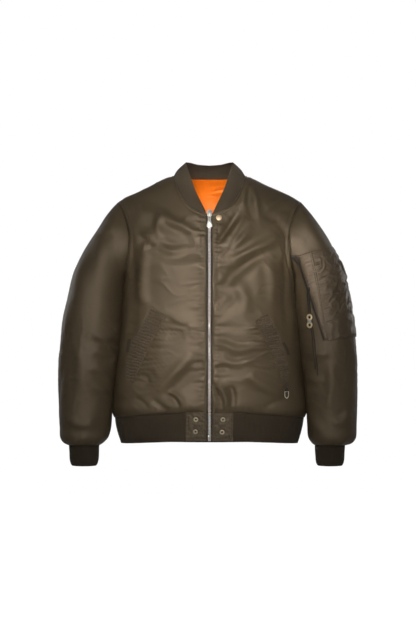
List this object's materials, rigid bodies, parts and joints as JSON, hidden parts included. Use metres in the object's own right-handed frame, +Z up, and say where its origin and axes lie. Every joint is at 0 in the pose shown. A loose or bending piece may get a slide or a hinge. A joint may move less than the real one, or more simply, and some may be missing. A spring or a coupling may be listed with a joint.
{
  "type": "bomber jacket",
  "caption": "Filled-out flight jacket with ribbed collar, cuffs and hem, a front zip with a hanging pull tab, slanted ruched pockets and a sleeve pocket with a pull lace.",
  "frame": {"origin": "midway between the two points where the shoulder seams meet the collar, on the front-to-back middle plane of the seams", "axes": "+Z up the body, -Y out of the chest, +X towards the wearer's left"},
  "size_m": [0.7543, 0.234, 0.7703],
  "materials": {
    "nylon": "satin woven nylon, olive brown",
    "rib_knit": "matt rib knit, dark brown",
    "lining_nylon": "satin lining nylon, bright orange",
    "zip_tape": "matt woven tape",
    "nickel": "bright nickel plate",
    "pale_brass": "pale brass",
    "dark_metal": "dark painted metal",
    "lace_cord": "black braided cord"
  },
  "bodies": {
    "jacket": {"back": "nylon", "collar": "rib_knit", "cuff_left": "rib_knit", "cuff_right": "rib_knit", "eyelet_left_lower": "nickel", "eyelet_left_upper": "nickel", "eyelet_right_lower": "nickel", "eyelet_right_upper": "nickel", "front_left": "nylon", "front_right": "nylon", "hem_rib": "rib_knit", "hem_tab_left": "nylon", "hem_tab_right": "nylon", "lace_back": "lace_cord", "lace_front": "lace_cord", "lace_link": "pale_brass", "lining_back": "lining_nylon", "neck_snap": "pale_brass", "pen_slot": "nylon", "pocket_loop_left": "nylon", "pocket_loop_right": "nylon", "pocket_slider": "dark_metal", "pocket_welt_left": "nylon", "pocket_welt_right": "nylon", "sleeve_left": "nylon", "sleeve_pocket": "nylon", "sleeve_pocket_band": "nylon", "sleeve_pocket_flap": "nylon", "sleeve_right": "nylon", "sleeve_slider": "dark_metal", "zip_box": "nickel", "zip_chain": "nickel", "zip_slider": "nickel", "zip_tape_left": "zip_tape", "zip_tape_right": "zip_tape"},
    "zip_pull": {"zip_pull": "nickel"},
    "pocket_ring": {"pocket_ring": "pale_brass"}
  },
  "joints": [
    {"name": "zip_pull_swing", "type": "hinge", "parent": "jacket", "child": "zip_pull", "pos_m": [0, -0.09863, -0.10142], "axis": [-1, 0, 0], "range_deg": [0, 150]},
    {"name": "pocket_ring_swing", "type": "hinge", "parent": "jacket", "child": "pocket_ring", "pos_m": [0.19312, -0.08651, -0.5465], "axis": [-0.8705, -0.4922, 0], "range_deg": [0, 150]}
  ]
}
